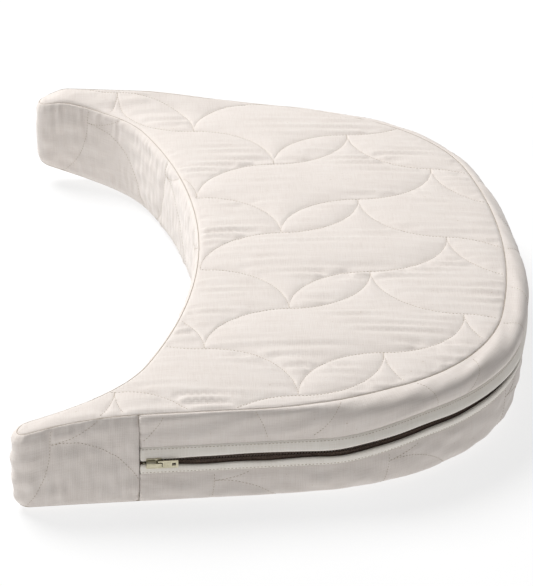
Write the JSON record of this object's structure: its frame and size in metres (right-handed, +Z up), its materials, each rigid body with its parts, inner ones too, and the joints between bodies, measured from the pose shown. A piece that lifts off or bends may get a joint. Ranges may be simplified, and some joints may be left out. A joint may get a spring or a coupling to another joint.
{
  "type": "nursing pillow",
  "caption": "Crescent-shaped flat nursing pillow with a firm foam core, a quilted cotton cover, and a coil zip with a slider and puller along its convex side.",
  "frame": {"origin": "centre of the underside, midway between the tips and midway between the back and the tip ends", "axes": "+Z up out of the top panel, +Y towards the far tip, +X towards the convex back; the hollow opens towards -X"},
  "size_m": [0.4751, 0.68, 0.094],
  "materials": {
    "cover_cloth": "natural undyed cotton in plain weave, quilted",
    "wadding": "loose cotton wadding",
    "lining": "thin unbleached cotton",
    "facing_cloth": "plain cotton, folded and topstitched",
    "zip_tape": "woven zip tape",
    "zip_coil": "nylon coil",
    "zip_metal": "plated zinc, light satin",
    "core_foam": "open-cell foam"
  },
  "bodies": {
    "pillow": {"top_panel_cloth": "cover_cloth", "top_panel_wadding": "wadding", "top_panel_lining": "lining", "bottom_panel_cloth": "cover_cloth", "bottom_panel_wadding": "wadding", "bottom_panel_lining": "lining", "inner_border_cloth": "cover_cloth", "inner_border_wadding": "wadding", "inner_border_lining": "lining", "upper_band_cloth": "cover_cloth", "upper_band_wadding": "wadding", "upper_band_lining": "lining", "lower_band_cloth": "cover_cloth", "lower_band_wadding": "wadding", "lower_band_lining": "lining", "upper_zip_facing": "facing_cloth", "upper_zip_tape": "zip_tape", "upper_zip_coil": "zip_coil", "upper_top_stop": "zip_metal", "lower_zip_facing": "facing_cloth", "lower_zip_tape": "zip_tape", "lower_zip_coil": "zip_coil", "lower_top_stop": "zip_metal", "bottom_stop": "zip_metal", "core_liner_top": "lining", "core_liner_bottom": "lining", "core_liner_wall": "lining", "foam_core": "core_foam"},
    "slider": {"slider_body": "zip_metal", "slider_crown": "zip_metal"},
    "zip_puller": {"puller": "zip_metal"}
  },
  "joints": [
    {"name": "slider_travel", "type": "slide", "parent": "pillow", "child": "slider", "axis": [0.9967, 0.0809, 0], "range_m": [0, 0.135]},
    {"name": "puller_flip", "type": "hinge", "parent": "slider", "child": "zip_puller", "pos_m": [-0.11357, -0.3358, 0.046], "axis": [0, 0, -1], "range_deg": [0, 135]}
  ]
}
